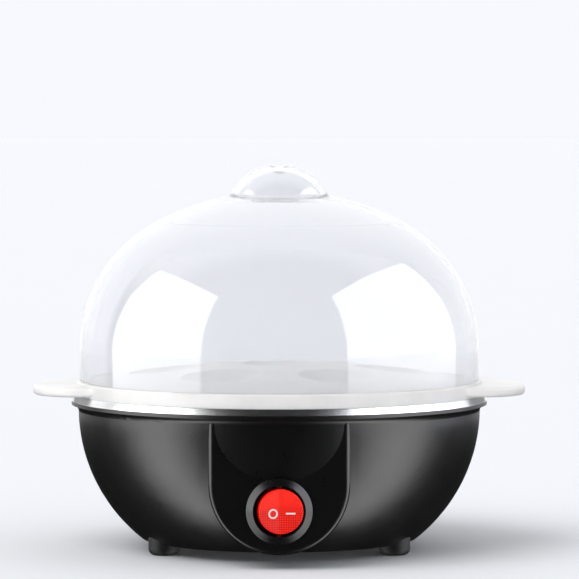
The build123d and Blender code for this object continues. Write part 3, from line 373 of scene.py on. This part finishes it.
def dress_nodes():
    """Gives each CAD node the material of its slot."""
    made = {}
    for entry in frame["record"]["subparts"]:
        name = entry["material_slot"]
        if name not in made:
            made[name] = make_material(name)
        for place in frame["nodes"][entry["node"]].material_slots:
            place.material = made[name]


# ---- Room ------------------------------------------------------------------------------------
def show(name, data):
    """A new object in the scene."""
    piece = bpy.data.objects.new(name, data)
    bpy.context.scene.collection.objects.link(piece)
    return piece


def add_floor():
    """Plain pale floor that runs far behind the object, kept out of reflections."""
    mesh = bpy.data.meshes.new("floor")
    half = FLOOR_SIZE / 2
    corners = [(-half, -half, 0), (half, -half, 0), (half, half, 0), (-half, half, 0)]
    mesh.from_pydata(corners, [], [(0, 1, 2, 3)])
    floor = show("floor", mesh)
    floor.location.z = floor_level
    floor.visible_glossy = False
    nodes = Nodes("floor")
    shader = nodes.principled(Roughness=0.9, Specular_IOR_Level=0.1)
    nodes.surface(shader, nodes.blend(nodes.noise(0.5), (0.84, 0.853, 0.885), (0.855, 0.867, 0.90)))
    mesh.materials.append(nodes.finish(shader))


def add_sky_light(azimuth, height, strength, softness):
    """A broad distant lamp, seen from the object at an azimuth from the camera's side and a height."""
    light = bpy.data.lights.new("sky_light", "SUN")
    light.energy = strength
    light.angle = math.radians(softness)
    lamp = show("sky_light", light)
    turn, lift = math.radians(azimuth), math.radians(height)
    toward = Vector((math.sin(turn) * math.cos(lift), -math.cos(turn) * math.cos(lift), math.sin(lift)))
    lamp.rotation_euler = toward.to_track_quat("Z", "Y").to_euler()
    lamp.visible_glossy = False
    lamp.visible_transmission = False


def window(nodes, azimuth, left, right, bottom, top, soft):
    """1 inside a flat bright panel: its sides and heights are slopes about its own azimuth."""
    x, y, z = nodes.axes()
    sine, cosine = math.sin(math.radians(azimuth)), math.cos(math.radians(azimuth))
    depth = nodes.maths("SUBTRACT", nodes.maths("MULTIPLY", x, sine), nodes.maths("MULTIPLY", y, cosine))
    side = nodes.maths("ADD", nodes.maths("MULTIPLY", x, cosine), nodes.maths("MULTIPLY", y, sine))
    across = nodes.maths("DIVIDE", side, depth)
    upward = nodes.maths("DIVIDE", z, depth)
    return nodes.product(
        nodes.rise(depth, 0.0, 0.02),
        nodes.rise(across, left - soft, left + soft),
        nodes.span(across, 1.0, 0.0, right - soft, right + soft),
        nodes.rise(upward, bottom - soft, bottom + soft),
        nodes.span(upward, 1.0, 0.0, top - soft, top + soft))


def mirrored_room(nodes, inside):
    """What polished faces mirror: a dark front, a pale back and ceiling, and bright panels at the sides."""
    _, y, z = nodes.axes()
    back = nodes.product(nodes.rise(y, 0.40, 0.50), nodes.rise(z, -0.1, -0.06))
    ceiling = nodes.product(nodes.rise(z, 0.34, 0.66), nodes.rise(y, -0.2, 0.1))
    front = nodes.blend(inside, FRONT_TONE, INNER_TONE)
    room = nodes.blend(nodes.maths("MAXIMUM", back, ceiling), front, BACK_TONE)
    for tone, *panel in PANELS:
        room = nodes.blend(window(nodes, *panel), room, tone)
    return room


def add_world():
    """Studio: pale when seen directly or through the lid, even for soft light, panelled in reflections."""
    nodes = Nodes("studio", world=True)
    path = nodes.add("ShaderNodeLightPath")
    mirrored, diffused, inside = (
        nodes.maths("MINIMUM", path.outputs[f"{kind} Depth"], 1.0)
        for kind in ("Glossy", "Diffuse", "Transmission"))
    seen = nodes.blend(mirrored, PALE_TONE, mirrored_room(nodes, inside))
    background = nodes.add("ShaderNodeBackground")
    nodes.put(nodes.blend(diffused, seen, SOFT_TONE), background.inputs["Color"])
    world = nodes.finish(background)
    world.cycles.sampling_method = "NONE"
    bpy.context.scene.world = world


def add_camera():
    lens = bpy.data.cameras.new("camera")
    lens.lens = CAMERA_LENS
    lens.sensor_width = SENSOR_WIDTH
    lens.dof.use_dof = False
    camera = show("camera", lens)
    camera.location = CAMERA_PLACE
    camera.rotation_euler = (CAMERA_AIM - CAMERA_PLACE).to_track_quat("-Z", "Y").to_euler()
    bpy.context.scene.camera = camera


dress_nodes()
add_floor()
add_world()
add_sky_light(*SKY_LIGHT)
add_camera()
bpy.context.scene.view_settings.view_transform = "Standard"
